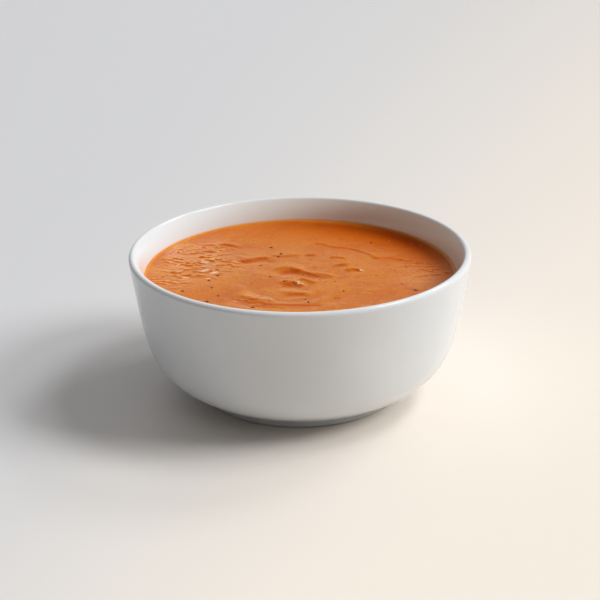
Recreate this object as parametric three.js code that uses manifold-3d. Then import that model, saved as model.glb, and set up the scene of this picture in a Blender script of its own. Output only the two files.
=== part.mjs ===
// Round white bowl filled with creamy tomato soup.
// The bowl is one thrown and glazed piece with a foot ring, and the soup is one solid up to its level.
// Millimetres, +Z up, origin at the centre of the circle that the foot ring stands on.

import * as THREE from 'three';
import { mergeVertices } from 'three/addons/utils/BufferGeometryUtils.js';
import Module from 'manifold-3d';

// Bowl: driving dimensions
const HEIGHT = 65.8;
const RIM_RADIUS = 76;
const LIP_ROUND = 1.65;
const RIM_FLARE = THREE.MathUtils.degToRad(9);
const WALL_REACH = 40.8;
const WALL_THICKNESS = 5.1;
const LIP_TURN = THREE.MathUtils.degToRad(22);
const LIP_RUN_IN = 9;
const BELLY_RADIUS = 45.7;
const BELLY_HEIGHT = 3.3;
const BELLY_SLOPE = THREE.MathUtils.degToRad(21);
const BELLY_REACH = 27.7;
const FOOT_RADIUS = 46.4;
const FOOT_WIDTH = 6.2;
const FOOT_ROUND = 0.8;
const RECESS_HEIGHT = 2.4;
const RECESS_TAPER = 0.8;
const FLOOR_HEIGHT = 7.4;
const FLOOR_RADIUS = 30;
const PARALLEL_DOWN_TO = 0.38;
const OUTSIDE_STEPS = 10;
const INSIDE_STEPS = 8;
const INSIDE_CROWDING = 1.5;
const LIP_STEPS = 5;
const FLOOR_STEPS = 3;
const BOWL_SIDES = 72;

// Soup: driving dimensions
const SOUP_LEVEL = 54.4;
const SOUP_GAP = 0.3;
const SKIN_RINGS = 34;
const SKIN_SIDES_PER_RING = 6;
const SKIN_DEPTH = 2;
const UNDERSIDE_SIDES = 60;
const MENISCUS_HEIGHT = 0.6;
const MENISCUS_WIDTH = 0.8;
const BRIM_HEIGHT = 0.4;
const BRIM_WIDTH = 7;
const SETTLED_BEYOND = 2.4;

// Slow swell of the whole skin, the swirl round its middle, and the waver of all folds
const SWELL = { height: 0.12, long: 23, short: 9.5, bend: 1.4 };
const SWIRL = { x: -2, y: -14, height: 0.1, pitch: 10.5, twist: 3.2, lobes: 2, radius: 34, hub: 9 };
const WAVER = { sideways: 0.8, ahead: 0.75, long: 4.1, short: 2.3 };

// Patches of short wrinkles: centre, half sizes, number, height, lean in degrees and seed of their draw
const WRINKLE_PATCHES = [
  { x: -45, y: 16, halfX: 19, halfY: 22, count: 80, height: 0.5, lean: 6, seed: 11 },
  { x: -56, y: -7, halfX: 10, halfY: 11, count: 20, height: 0.3, lean: -4, seed: 12 },
  { x: 57, y: 5, halfX: 11, halfY: 12, count: 26, height: 0.4, lean: 3, seed: 13 },
  { x: 38, y: 26, halfX: 15, halfY: 8, count: 9, height: 0.24, lean: -20, seed: 14 },
  { x: -19, y: -32, halfX: 9, halfY: 7, count: 16, height: 0.3, lean: -22, seed: 15 },
];
const WRINKLE = { shortest: 1.2, longest: 5, width: 0.85, spread: 28, bend: 0.8, lowest: 0.25, fading: 0.5 };
const WRINKLE_ROOM = { beside: 0.8, ahead: 2.5 };

// Folds (height above 0) and hollows (below 0), each along a line that bows sideways by its bend
const FOLDS = {
  hookCore: { from: [-7, 5.4], to: [0, 3.8], bend: 0.4, width: 3.3, height: 0.72 },
  hookTail: { from: [-2, 2.2], to: [13, -5.8], bend: 0.8, width: 1.9, height: 0.38 },
  hookHollow: { from: [-8, -1.5], to: [6, -6], bend: 1, width: 2.6, height: -0.35 },
  middlePeak: { from: [-1.3, -15.2], to: [-0.3, -15.4], bend: 0, width: 1.3, height: 0.8 },
  peakFold: { from: [-7, -12.5], to: [-3, -12.5], bend: 0, width: 2.2, height: 0.35 },
  peakHollow: { from: [-7, -18], to: [-2, -18.5], bend: 0, width: 2.2, height: -0.35 },
  shortFold: { from: [1.8, -9], to: [6.4, -12.4], bend: 0.8, width: 1.4, height: 0.55 },
  lowFold: { from: [-6.5, -24], to: [2.5, -24.5], bend: -0.6, width: 1.8, height: 0.28 },
  lowHollow: { from: [-7, -29], to: [2, -29], bend: -0.8, width: 2, height: -0.2 },
  frontLeftFold: { from: [-24, -27], to: [-14, -34], bend: -1, width: 2.2, height: 0.2 },
  frontLeftHollow: { from: [-27, -33], to: [-16, -41], bend: -1, width: 2.6, height: -0.2 },
  leftArc: { from: [-27, -18], to: [-15, -33], bend: -2, width: 2.2, height: 0.2 },
  backLine: { from: [8, 37], to: [36, 18], bend: 2.8, width: 1.3, height: 0.36 },
  backLineEnd: { from: [36, 18], to: [50, 13], bend: 1, width: 1.3, height: 0.26 },
  leftFold: { from: [-25, 18], to: [-16, 18.4], bend: 0.4, width: 2.2, height: 0.32 },
  leftHollow: { from: [-26, 13], to: [-14, 13.6], bend: 0.6, width: 2.2, height: -0.25 },
  backLeftFold: { from: [-11, 22], to: [-2, 21.6], bend: 0, width: 1.6, height: 0.32 },
  darkStreak: { from: [-37, 38], to: [-29, 35.5], bend: 0.4, width: 1.6, height: 0.42 },
  smallBackFold: { from: [3.5, 23], to: [6, 23], bend: 0, width: 1.3, height: 0.35 },
  archedBubble: { from: [15.6, 18], to: [20.2, 18], bend: 0.9, width: 1, height: 0.42 },
  rightSpot: { from: [17, 9.4], to: [20, 9.4], bend: 0, width: 1.8, height: 0.45 },
  ovalBubble: { from: [22, 1.6], to: [26.5, 1.6], bend: 0.3, width: 1.5, height: 0.65 },
  bubbleEnd: { from: [27, 0.2], to: [27.6, 0.2], bend: 0, width: 1, height: 0.6 },
};

// Coarse pepper and herb flakes that stand out: place and width
const SHOWN_FLAKES = {
  backLeftOval: [-13.5, 33, 1.3],
  backPairUpper: [-8.6, 23.3, 1.35],
  backPairLower: [-9.9, 19.6, 1.05],
  leftGreen: [-17.9, 8.7, 0.9],
  middleLeftRound: [-13.7, -5.3, 1.1],
  middleDark: [-6.5, -11.9, 1.5],
  leftHigh: [-40.3, -9.1, 1.3],
  leftRight: [-37, -3.6, 1.1],
  leftMiddle: [-38.6, -17.9, 1.05],
  frontLeftDark: [-35.3, -27.4, 1.05],
  farLeftGrey: [-51.1, -21.6, 1.3],
  frontGrey: [-39.9, -33.7, 1.1],
  frontDark: [-19.9, -40.8, 1.3],
  backRightRound: [33.8, 38.2, 1.05],
  frontMiddle: [3.5, -36, 1.2],
  rightShred: [50.2, -23, 1.2],
  rightFaint: [18.8, -23.5, 1],
};

// Smaller flakes scattered between them
const SCATTERED = { count: 18, smallest: 0.6, largest: 1, edgeMargin: 5, spacing: 6, seed: 20417 };
const FLAKE_FLATNESS = 0.5;
const FLAKE_STRETCH = 0.5;
const FLAKE_DETAIL = 0;

const TURN = 2 * Math.PI;
const SAME_POINT = 1e-5;
const DRAW_FACTOR = 1664525;
const DRAW_STEP = 1013904223;
const DRAW_RANGE = 2 ** 32;
const wasm = await Module();
wasm.setup();

// Profile of the bowl, in (radius, height)

function arc(radius, height, round, from, to, steps) {
  const points = [];
  for (let i = 0; i <= steps; i += 1) {
    const angle = from + ((to - from) * i) / steps;
    points.push(new THREE.Vector2(radius + round * Math.cos(angle), height + round * Math.sin(angle)));
  }
  return points;
}

function outerWall() {
  const start = new THREE.Vector2(BELLY_RADIUS, BELLY_HEIGHT);
  const end = new THREE.Vector2(
    RIM_RADIUS - LIP_ROUND + LIP_ROUND * Math.cos(RIM_FLARE),
    HEIGHT - LIP_ROUND - LIP_ROUND * Math.sin(RIM_FLARE),
  );
  const leaving = new THREE.Vector2(Math.cos(BELLY_SLOPE), Math.sin(BELLY_SLOPE)).multiplyScalar(BELLY_REACH);
  const arriving = new THREE.Vector2(Math.sin(RIM_FLARE), Math.cos(RIM_FLARE)).multiplyScalar(WALL_REACH);
  return new THREE.CubicBezierCurve(start, start.clone().add(leaving), end.clone().sub(arriving), end);
}

// Thickness of the wall at a depth under the middle of the lip's round, where it leaves that round smoothly.
function wallThickness(below) {
  const start = -LIP_ROUND * Math.sin(LIP_TURN);
  const first = LIP_ROUND * (1 + Math.cos(LIP_TURN));
  const run = LIP_RUN_IN - start;
  const growth = WALL_THICKNESS - first;
  const left = THREE.MathUtils.clamp((LIP_RUN_IN - below) / run, 0, 1);
  return WALL_THICKNESS - growth * left ** ((Math.tan(LIP_TURN) * run) / growth);
}

// The inside of the bowl from the lip down to the middle of its floor.
function innerWall() {
  const outer = outerWall();
  const end = outer.getPoint(1);
  const lipShare = (LIP_ROUND * Math.sin(LIP_TURN)) / (3 * WALL_REACH);
  const points = [];
  for (let i = 0; i <= INSIDE_STEPS; i += 1) {
    const share = THREE.MathUtils.lerp(1 + lipShare, PARALLEL_DOWN_TO, (i / INSIDE_STEPS) ** INSIDE_CROWDING);
    const place = outer.getPoint(share);
    const along = outer.getTangent(Math.min(share, 1));
    const inward = new THREE.Vector2(-along.y, along.x);
    const below = (end.y - place.y) / Math.cos(RIM_FLARE);
    points.push(place.addScaledVector(inward, wallThickness(below)));
  }
  const last = points.at(-1);
  const slope = outer.getTangent(PARALLEL_DOWN_TO);
  const knee = new THREE.Vector2(last.x - ((last.y - FLOOR_HEIGHT) * slope.x) / slope.y, FLOOR_HEIGHT);
  const floorEdge = new THREE.Vector2(FLOOR_RADIUS, FLOOR_HEIGHT);
  points.push(...new THREE.QuadraticBezierCurve(last, knee, floorEdge).getPoints(FLOOR_STEPS).slice(1));
  points.push(new THREE.Vector2(0, FLOOR_HEIGHT));
  return points;
}

function footRing() {
  const quarter = Math.PI / 2;
  const outerRound = FOOT_RADIUS - FOOT_ROUND;
  const innerRound = FOOT_RADIUS - FOOT_WIDTH + FOOT_ROUND;
  return [
    new THREE.Vector2(0, RECESS_HEIGHT),
    new THREE.Vector2(innerRound - FOOT_ROUND - RECESS_TAPER, RECESS_HEIGHT),
    ...arc(innerRound, FOOT_ROUND, FOOT_ROUND, -2 * quarter, -quarter, 2),
    ...arc(outerRound, FOOT_ROUND, FOOT_ROUND, -quarter, 0, 2),
  ];
}

function makeBowl() {
  const turned = Math.PI - RIM_FLARE - LIP_TURN;
  const lip = arc(RIM_RADIUS - LIP_ROUND, HEIGHT - LIP_ROUND, LIP_ROUND, -RIM_FLARE, turned, LIP_STEPS);
  const outside = outerWall().getPoints(OUTSIDE_STEPS).slice(0, -1);
  const profile = [...footRing(), ...outside, ...lip.slice(0, -1), ...innerWall()];
  return new THREE.LatheGeometry(profile, BOWL_SIDES).rotateX(Math.PI / 2);
}

// Relief of the soup's skin above its level, at a place in the level plane

function fade(distance) {
  return Math.exp(-distance * distance);
}

// A small repeatable source of numbers from 0 to 1.
function makeDraw(seed) {
  let state = seed;
  return () => {
    state = (Math.imul(state, DRAW_FACTOR) + DRAW_STEP) >>> 0;
    return state / DRAW_RANGE;
  };
}

// Short uneven wrinkles drawn over a patch, none on top of another.
function wrinklesOf(patch) {
  const draw = makeDraw(patch.seed);
  const wrinkles = [];
  while (wrinkles.length < patch.count) {
    const reach = Math.sqrt(draw());
    const angle = TURN * draw();
    const x = patch.x + patch.halfX * reach * Math.cos(angle);
    const y = patch.y + patch.halfY * reach * Math.sin(angle);
    const length = THREE.MathUtils.lerp(WRINKLE.shortest, WRINKLE.longest, draw());
    const turn = THREE.MathUtils.degToRad(patch.lean + WRINKLE.spread * (2 * draw() - 1));
    const bend = WRINKLE.bend * (2 * draw() - 1);
    const share = THREE.MathUtils.lerp(WRINKLE.lowest, 1, draw());
    const height = patch.height * share * (1 - WRINKLE.fading * reach * reach);
    const { beside, ahead } = WRINKLE_ROOM;
    const apart = (other) => Math.hypot((x - other.x) / (beside * length), (y - other.y) / ahead) > 1;
    if (wrinkles.every(apart)) {
      const aheadX = 0.5 * length * Math.cos(turn);
      const aheadY = 0.5 * length * Math.sin(turn);
      const from = [x - aheadX, y - aheadY];
      const to = [x + aheadX, y + aheadY];
      wrinkles.push({ x, y, from, to, bend, width: WRINKLE.width, height });
    }
  }
  return wrinkles;
}

const ALL_FOLDS = [...Object.values(FOLDS), ...WRINKLE_PATCHES.flatMap(wrinklesOf)];

function foldHeight(x, y, fold) {
  const [fromX, fromY] = fold.from;
  const alongX = fold.to[0] - fromX;
  const alongY = fold.to[1] - fromY;
  const length = Math.hypot(alongX, alongY);
  const share = ((x - fromX) * alongX + (y - fromY) * alongY) / (length * length);
  const held = THREE.MathUtils.clamp(share, 0, 1);
  const bow = 4 * fold.bend * held * (1 - held);
  const sideways = ((y - fromY) * alongX - (x - fromX) * alongY) / length - bow;
  const beyond = (share - held) * length;
  return fold.height * fade(Math.hypot(sideways, beyond) / fold.width);
}

function swellHeight(x, y) {
  const along = Math.sin(x / SWELL.long + SWELL.bend * Math.sin(y / SWELL.short));
  const ahead = Math.sin(y / SWELL.short + SWELL.bend * Math.sin(x / SWELL.long));
  return SWELL.height * along * ahead;
}

function swirlHeight(x, y) {
  const away = Math.hypot(x - SWIRL.x, y - SWIRL.y);
  const round = Math.atan2(y - SWIRL.y, x - SWIRL.x);
  const turned = away + SWIRL.twist * Math.sin(SWIRL.lobes * round + away / SWIRL.hub);
  const front = (1 - Math.sin(round)) / 2;
  const here = fade(away / SWIRL.radius) * (1 - fade(away / SWIRL.hub)) * front;
  return SWIRL.height * here * Math.sin((TURN * turned) / SWIRL.pitch);
}

function relief(x, y) {
  const waveredX = x + WAVER.sideways * Math.sin(y / WAVER.short + Math.sin(x / WAVER.long));
  const waveredY = y + WAVER.ahead * Math.sin(x / WAVER.short + Math.sin(y / WAVER.long));
  let height = swellHeight(x, y) + swirlHeight(x, y);
  for (const fold of ALL_FOLDS) {
    height += foldHeight(waveredX, waveredY, fold);
  }
  return height;
}

// Inside radius of the bowl at a height, between the points of its inner wall.
function insideRadius(height) {
  const wall = innerWall();
  const below = wall.findIndex((point) => point.y <= height);
  const upper = wall[below - 1];
  const lower = wall[below];
  return THREE.MathUtils.mapLinear(height, lower.y, upper.y, lower.x, upper.x);
}

// Solids made of rings: each ring is a loop of places, and neighbouring rings are zipped with triangles

function ring(radius, sides, heightAt) {
  const places = [];
  for (let i = 0; i < sides; i += 1) {
    const angle = (TURN * i) / sides;
    const x = radius * Math.cos(angle);
    const y = radius * Math.sin(angle);
    places.push([x, y, heightAt(x, y)]);
  }
  return places;
}

function zip(triangles, near, far) {
  const nearSteps = near.count > 1 ? near.count : 0;
  const farSteps = far.count > 1 ? far.count : 0;
  let i = 0;
  let j = 0;
  while (i < nearSteps || j < farSteps) {
    const here = near.start + (i % near.count);
    const there = far.start + (j % far.count);
    const farIsNext = i >= nearSteps || (j < farSteps && (j + 1) / farSteps <= (i + 1) / nearSteps);
    if (farIsNext) {
      triangles.push(here, there, far.start + ((j + 1) % far.count));
      j += 1;
    } else {
      triangles.push(here, there, near.start + ((i + 1) % near.count));
      i += 1;
    }
  }
}

function geometryOfRings(rings) {
  const starts = [];
  let total = 0;
  for (const places of rings) {
    starts.push({ start: total, count: places.length });
    total += places.length;
  }
  const triangles = [];
  for (let i = 1; i < starts.length; i += 1) {
    zip(triangles, starts[i - 1], starts[i]);
  }
  const geometry = new THREE.BufferGeometry();
  geometry.setAttribute('position', new THREE.Float32BufferAttribute(rings.flat(2), 3));
  geometry.setIndex(triangles);
  return geometry;
}

function solidOf(geometry) {
  geometry.deleteAttribute('normal');
  geometry.deleteAttribute('uv');
  const merged = mergeVertices(geometry, SAME_POINT);
  const vertProperties = Float32Array.from(merged.attributes.position.array);
  const triVerts = Uint32Array.from(merged.index.array);
  return new wasm.Manifold(new wasm.Mesh({ numProp: 3, vertProperties, triVerts }));
}

function geometryOf(solid) {
  const mesh = solid.getMesh();
  const geometry = new THREE.BufferGeometry();
  geometry.setAttribute('position', new THREE.BufferAttribute(Float32Array.from(mesh.vertProperties), 3));
  geometry.setIndex(new THREE.BufferAttribute(Uint32Array.from(mesh.triVerts), 1));
  return geometry;
}

// Soup

const SOUP_RADIUS = insideRadius(SOUP_LEVEL) - SOUP_GAP;

function skinHeight(x, y) {
  const fromEdge = SOUP_RADIUS - Math.hypot(x, y);
  const meniscus = MENISCUS_HEIGHT * fade(fromEdge / MENISCUS_WIDTH);
  const brim = BRIM_HEIGHT * fade(fromEdge / BRIM_WIDTH);
  const settled = 1 - fade(fromEdge / SETTLED_BEYOND);
  return SOUP_LEVEL + meniscus + brim + relief(x, y) * settled;
}

function makeSoupBody() {
  const rings = [[[0, 0, skinHeight(0, 0)]]];
  for (let i = 1; i <= SKIN_RINGS; i += 1) {
    rings.push(ring((SOUP_RADIUS * i) / SKIN_RINGS, SKIN_SIDES_PER_RING * i, skinHeight));
  }
  for (const point of innerWall()) {
    const clear = point.x - SOUP_GAP;
    const height = point.y + SOUP_GAP;
    if (height < SOUP_LEVEL - SKIN_DEPTH && clear > 0) {
      rings.push(ring(clear, UNDERSIDE_SIDES, () => height));
    }
  }
  rings.push([[0, 0, FLOOR_HEIGHT + SOUP_GAP]]);
  return geometryOfRings(rings);
}

// Places of the scattered flakes, drawn one by one and kept where no other flake is near.
function scatteredPlaces(taken) {
  const draw = makeDraw(SCATTERED.seed);
  const reach = SOUP_RADIUS - SCATTERED.edgeMargin;
  const places = [];
  while (places.length < SCATTERED.count) {
    const away = reach * Math.sqrt(draw());
    const angle = TURN * draw();
    const x = away * Math.cos(angle);
    const y = away * Math.sin(angle);
    const width = THREE.MathUtils.lerp(SCATTERED.smallest, SCATTERED.largest, draw());
    const apart = ([otherX, otherY]) => Math.hypot(otherX - x, otherY - y) > SCATTERED.spacing;
    if ([...taken, ...places].every(apart)) {
      places.push([x, y, width]);
    }
  }
  return places;
}

function makeFlake([x, y, width], draw) {
  const long = 1 + FLAKE_STRETCH * draw();
  return new THREE.OctahedronGeometry(width / 2, FLAKE_DETAIL)
    .scale(long, 1, FLAKE_FLATNESS)
    .rotateZ(TURN * draw())
    .translate(x, y, skinHeight(x, y));
}

function makeSoup() {
  const shown = Object.values(SHOWN_FLAKES);
  const draw = makeDraw(SCATTERED.seed);
  let soup = solidOf(makeSoupBody());
  for (const place of [...shown, ...scatteredPlaces(shown)]) {
    soup = soup.add(solidOf(makeFlake(place, draw)));
  }
  return geometryOf(soup);
}

// The two pieces and their finishes

function piece(name, geometry, color, roughness) {
  const material = new THREE.MeshStandardMaterial({ name, color, roughness, metalness: 0 });
  const mesh = new THREE.Mesh(geometry, material);
  mesh.name = name;
  return mesh;
}

const bowlOfSoup = new THREE.Group();
bowlOfSoup.add(piece('bowl', makeBowl(), 0xe4e4e3, 0.3));
bowlOfSoup.add(piece('soup', makeSoup(), 0xca7743, 0.35));

export default bowlOfSoup;
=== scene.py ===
"""Looks of a round white bowl of creamy tomato soup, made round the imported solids.

Metres, +Z up, origin under the middle of the foot ring, -Y towards the side shown in front.
"""

import functools
import math
import random

import bmesh
import bpy
import numpy as np
from bpy.props import FloatProperty, FloatVectorProperty, IntProperty, PointerProperty
from mathutils import Matrix, Vector, noise


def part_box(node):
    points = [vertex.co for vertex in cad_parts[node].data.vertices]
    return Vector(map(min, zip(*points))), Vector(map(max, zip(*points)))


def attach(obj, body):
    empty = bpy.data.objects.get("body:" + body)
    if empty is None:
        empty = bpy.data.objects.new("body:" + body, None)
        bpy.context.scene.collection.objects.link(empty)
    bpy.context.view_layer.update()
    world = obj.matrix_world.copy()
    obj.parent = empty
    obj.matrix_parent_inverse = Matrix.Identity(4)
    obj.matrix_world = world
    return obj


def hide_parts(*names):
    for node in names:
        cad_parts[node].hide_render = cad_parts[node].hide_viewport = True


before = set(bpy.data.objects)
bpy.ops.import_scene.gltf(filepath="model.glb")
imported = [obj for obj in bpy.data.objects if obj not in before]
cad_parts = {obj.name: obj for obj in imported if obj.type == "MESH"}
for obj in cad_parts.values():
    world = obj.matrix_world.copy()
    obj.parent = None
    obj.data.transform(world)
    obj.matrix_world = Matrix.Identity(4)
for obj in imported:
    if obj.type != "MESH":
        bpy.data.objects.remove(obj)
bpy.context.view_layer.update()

bl_info = {
    "name": "Bowl of tomato soup",
    "version": (1, 0, 0),
    "blender": (4, 5, 0),
    "location": "3D View > Sidebar > Soup bowl",
    "description": "Makes a glazed bowl of creamy tomato soup and its stage",
    "category": "Add Mesh",
}

TURN = 2 * math.pi
MM = 0.001
# Upper corner of the box of the bowl's solid
BOWL_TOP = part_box("bowl")[1]


# Relief of the skin, all in millimetres; heights are over the soup's level

SWELL = {"height": 0.12, "long": 23, "short": 9.5, "bend": 1.4}
WARP = {"sideways": 0.8, "ahead": 0.75, "long": 4.1, "short": 2.3}
SWIRL = {"middle": (-2, -14), "height": 0.1, "pitch": 10.5, "twist": 3.2, "lobes": 2, "radius": 34, "hub": 9}

# Patches of short wrinkles: middle, half sizes, count, height, lean in degrees and seed of their draw
WRINKLES = {
    "left": ((-45, 16), (19, 22), 80, 0.5, 6, 11),
    "far left": ((-56, -7), (10, 11), 20, 0.3, -4, 12),
    "right": ((57, 5), (11, 12), 26, 0.4, 3, 13),
    "back right": ((38, 26), (15, 8), 9, 0.24, -20, 14),
    "front left": ((-19, -32), (9, 7), 16, 0.3, -22, 15),
}
# Every wrinkle: its lengths, half width, lean either way in degrees and bend; how low it may be and how much
# lower at the patch's edge, as shares; and the room that it keeps beside it, for its length, and ahead of it
WRINKLE = {
    "shortest": 1.2, "longest": 5, "width": 0.85, "spread": 28, "bend": 0.8, "lowest": 0.25, "falling": 0.5,
    "beside": 0.8, "ahead": 2.5,
}
# How far the finest breaks of the wrinkles run, and how much they raise or lower them
BREAKS = {"sideways": 2.1, "ahead": 1.1, "mean": 0.9, "share": 1.3, "layer": 5.3}

# Folds (height above 0) and hollows (below 0): start, end, bend sideways, half width, height
FOLDS = {
    "hook core": ((-7, 5.4), (0, 3.8), 0.4, 3.3, 0.72),
    "hook tail": ((-2, 2.2), (13, -5.8), 0.8, 1.9, 0.38),
    "hook hollow": ((-8, -1.5), (6, -6), 1, 2.6, -0.35),
    "middle peak": ((-1.3, -15.2), (-0.3, -15.4), 0, 1.3, 0.8),
    "peak fold": ((-7, -12.5), (-3, -12.5), 0, 2.2, 0.35),
    "peak hollow": ((-7, -18), (-2, -18.5), 0, 2.2, -0.35),
    "short fold": ((1.8, -9), (6.4, -12.4), 0.8, 1.4, 0.55),
    "low fold": ((-6.5, -24), (2.5, -24.5), -0.6, 1.8, 0.28),
    "low hollow": ((-7, -29), (2, -29), -0.8, 2, -0.2),
    "front left fold": ((-24, -27), (-14, -34), -1, 2.2, 0.2),
    "front left hollow": ((-27, -33), (-16, -41), -1, 2.6, -0.2),
    "left arc": ((-27, -18), (-15, -33), -2, 2.2, 0.2),
    "back line": ((8, 37), (36, 18), 2.8, 1.3, 0.36),
    "back line end": ((36, 18), (50, 13), 1, 1.3, 0.26),
    "left fold": ((-25, 18), (-16, 18.4), 0.4, 2.2, 0.32),
    "left hollow": ((-26, 13), (-14, 13.6), 0.6, 2.2, -0.25),
    "back left fold": ((-11, 22), (-2, 21.6), 0, 1.6, 0.32),
    "dark streak": ((-37, 38), (-29, 35.5), 0.4, 1.6, 0.42),
    "small back fold": ((3.5, 23), (6, 23), 0, 1.3, 0.35),
    "arched bubble": ((15.6, 18), (20.2, 18), 0.9, 1, 0.42),
    "right spot": ((17, 9.4), (20, 9.4), 0, 1.8, 0.45),
    "oval bubble": ((22, 1.6), (26.5, 1.6), 0.3, 1.5, 0.65),
    "bubble end": ((27, 0.2), (27.6, 0.2), 0, 1, 0.6),
}

# The fine pulp: its stretch from side to side, the share of a second noise of half the pitch, their layers
PULP = {"stretch": 3, "finer": 0.5, "layer": 3.7, "finer layer": 8.2}
# How many widths of the meniscus the relief takes to settle at the wall
SETTLING = 3


# Masks of the skin, most of them painted shade, sheen and glints, in millimetres

# Where the skin is wettest besides the wrinkles, glossier and with painted sheen: middle and radius
WET_SPOTS = {
    "peak": ((-0.6, -16.5), 2.2), "bubble": ((27, -0.5), 2), "back left": ((-52, 28), 10),
    "right": ((54, -13), 12),
}
# Painted glints on the skin, streaks of pale pink: start, end and half width
PAINTED_GLINTS = {
    "left upper": ((-44.3, 1.8), (-41.6, 4), 0.65), "left lower": ((-39.6, -0.4), (-37.2, 0.8), 0.6),
    "left dot": ((-41, -6.6), (-40.3, -6.6), 0.45), "left far": ((-45, 14), (-42, 14.5), 0.4),
    "left back": ((-40, 18), (-37, 19), 0.4), "peak": ((-0.6, -15.6), (0.6, -14.9), 0.7),
    "peak back": ((-0.9, -12.2), (-0.7, -12.2), 0.4), "bubble end": ((27.3, 0.2), (27.8, 0.4), 0.4),
    "left front": ((-52, -5.5), (-50, -5.5), 0.35),
}
# Painted shade: streaks of deeper orange by the folds and hollows: start, end and half width
PAINTED_SHADE_STREAKS = {
    "front left": ((-22.5, -33), (-16.5, -36), 1.8), "front line": ((-15, -38), (8, -40), 1.1),
    "low": ((-5, -26.8), (1, -26.9), 1.1), "small back": ((3.3, 20.8), (5.6, 20.8), 1),
    "right spot": ((18.2, 7.4), (20.4, 7.3), 1.1), "front right": ((15.3, -31.3), (17, -31.4), 0.9),
    "left fold": ((-26, 14), (-23, 14.8), 1.5), "left fold end": ((-19.5, 17.4), (-15.5, 18), 1.4),
    "hook": ((-6, 0.6), (-2, 0.2), 1.7), "hook tail": ((3, -1.6), (11, -7.8), 0.8),
    "dark streak": ((-35.5, 36.6), (-32.5, 34.8), 1.2), "peak hollow": ((-5.5, -14.5), (-2.4, -15), 2),
}
# Painted shadow of the right rim on the soup, and painted shade with less sheen on the soup's back right:
# towards these turns in degrees, within these widths of the wall, and less at the wall itself
PAINTED_SHADOW_RIM = {"towards": 42, "focus": 5.5, "width": 15, "share": 1}
PAINTED_SHADE_RIM = {"towards": 52, "focus": 3, "width": 30, "share": 0.9}
WALL_RELEASE = {"share": 0.6, "width": 3.5}
# Where painted bounce light from the soup falls on the inside of the bowl: towards this turn in degrees
PAINTED_BOUNCE = {"towards": 45, "focus": 4}
# Half the run over which a slope is taken
SLOPE_REACH = 0.3
# Shares of the gloss lost on slopes that face the front, in the painted shade on the back right and in the
# painted streaks of shade
DULLING = {"slope": 0.8, "warm": 0.75, "clot": 0.6}
# Share of the painted sheen on a calm skin's slopes that face the back
CALM_LIT = 0.4


# Flakes and specks, in millimetres: place and width

# Coarse pepper and herb flakes that stand out
SHOWN_FLAKES = {
    "back left oval": (-13.5, 33, 1.3), "back pair upper": (-8.6, 23.3, 1.35),
    "back pair lower": (-9.9, 19.6, 1.05), "left green": (-17.9, 8.7, 0.9),
    "middle left round": (-13.7, -5.3, 1.1), "middle dark": (-6.5, -11.9, 1.5),
    "left high": (-40.3, -9.1, 1.3), "left right": (-37, -3.6, 1.1), "left middle": (-38.6, -17.9, 1.05),
    "front left dark": (-35.3, -27.4, 1.05), "far left grey": (-51.1, -21.6, 1.3),
    "front grey": (-39.9, -33.7, 1.1), "front dark": (-19.9, -40.8, 1.3),
    "back right round": (33.8, 38.2, 1.05), "front middle": (3.5, -36, 1.2),
    "right shred": (50.2, -23, 1.2), "right faint": (18.8, -23.5, 1),
}
# Those of them that are tomato skin
REDDISH_FLAKES = ("middle left round", "middle dark")
# Smaller coarse flakes between those that stand out
BETWEEN_FLAKES = {"count": 18, "widths": (0.6, 1), "margin": 5, "spacing": 6, "seed": 20417}
# Specks of tomato skin that stand out
SHOWN_SPECKS = {
    "centre dark": (-12.9, -5.4, 1.1), "centre small": (7.5, -22.6, 0.8), "front orange": (2.1, -32.4, 1.5),
    "front right": (14.5, -31.5, 1.1), "right pair left": (11.5, -12.6, 0.9),
    "right pair right": (15.6, -12.4, 0.8), "right upper": (40.4, 8, 0.8), "right middle": (41, 2.6, 0.8),
    "right lower": (42.6, 0.3, 0.8), "right low": (43.4, -7.2, 0.8), "right orange": (44.6, -15.7, 1.5),
    "back left": (-22, 43, 1.0), "back middle": (8, 44, 0.9), "back right": (22, 40, 0.9),
    "left front": (-26, -33, 0.9), "front left": (-12, -38, 1.2), "middle left": (-21, -2, 0.8),
}
# Three bits that the long herb shred is made of
SHRED = ((48.4, -22.7, 0.6), (49.6, -22.9, 0.7), (51.3, -23.1, 0.6))

# Scraps by kind: how they are set and coloured, how often their round form is split into facets, how uneven
# they are, how long and thick for their width, how much is sunk, and the scattered ones' widths and spacing
SCRAPS = {
    "pepper_flakes": {
        "setting": "pepper", "material": "Pepper", "shader": {"Roughness": 0.5, "Specular IOR Level": 0.05},
        "splits": 2, "uneven": 0.7, "longest": 1.7, "thickness": 0.45, "sunk": 0.1,
        "widths": (0.3, 0.6), "spacing": 4,
    },
    "herb_shreds": {
        "setting": "herb", "material": "Herb", "shader": {"Roughness": 0.55},
        "splits": 2, "uneven": 0.6, "longest": 3.4, "thickness": 0.4, "sunk": 0.2,
        "widths": (0.4, 0.8), "spacing": 3,
    },
    "tomato_flecks": {
        "setting": "tomato", "material": "Tomato_skin",
        "shader": {"Roughness": 0.5, "Specular IOR Level": 0.0},
        "splits": 1, "uneven": 0.6, "longest": 2.2, "thickness": 0.4, "sunk": 0.5,
        "widths": (0.35, 0.9), "spacing": 1.5,
    },
    "pulp_specks": {
        "setting": "pulp", "material": "Pulp", "shader": {"Roughness": 0.4, "Specular IOR Level": 0.2},
        "splits": 1, "uneven": 0.5, "longest": 1.6, "thickness": 0.5, "sunk": 0.4,
        "widths": (0.3, 0.8), "spacing": 1,
    },
    "skin_bubbles": {
        "setting": "bubble", "material": "Bubble", "shader": {"Roughness": 0.08, "IOR": 1.4},
        "splits": 3, "uneven": 0.0, "longest": 1.2, "thickness": 0.7, "sunk": 0.3,
        "widths": (0.5, 1.6), "spacing": 1.5,
    },
}
# Room that scattered scraps keep from the wall, in millimetres, their lean and the seed of their draw
SCRAP_MARGIN = 3
SCRAP_LEAN = 0.3
SCRAP_SEED = 5173


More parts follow.
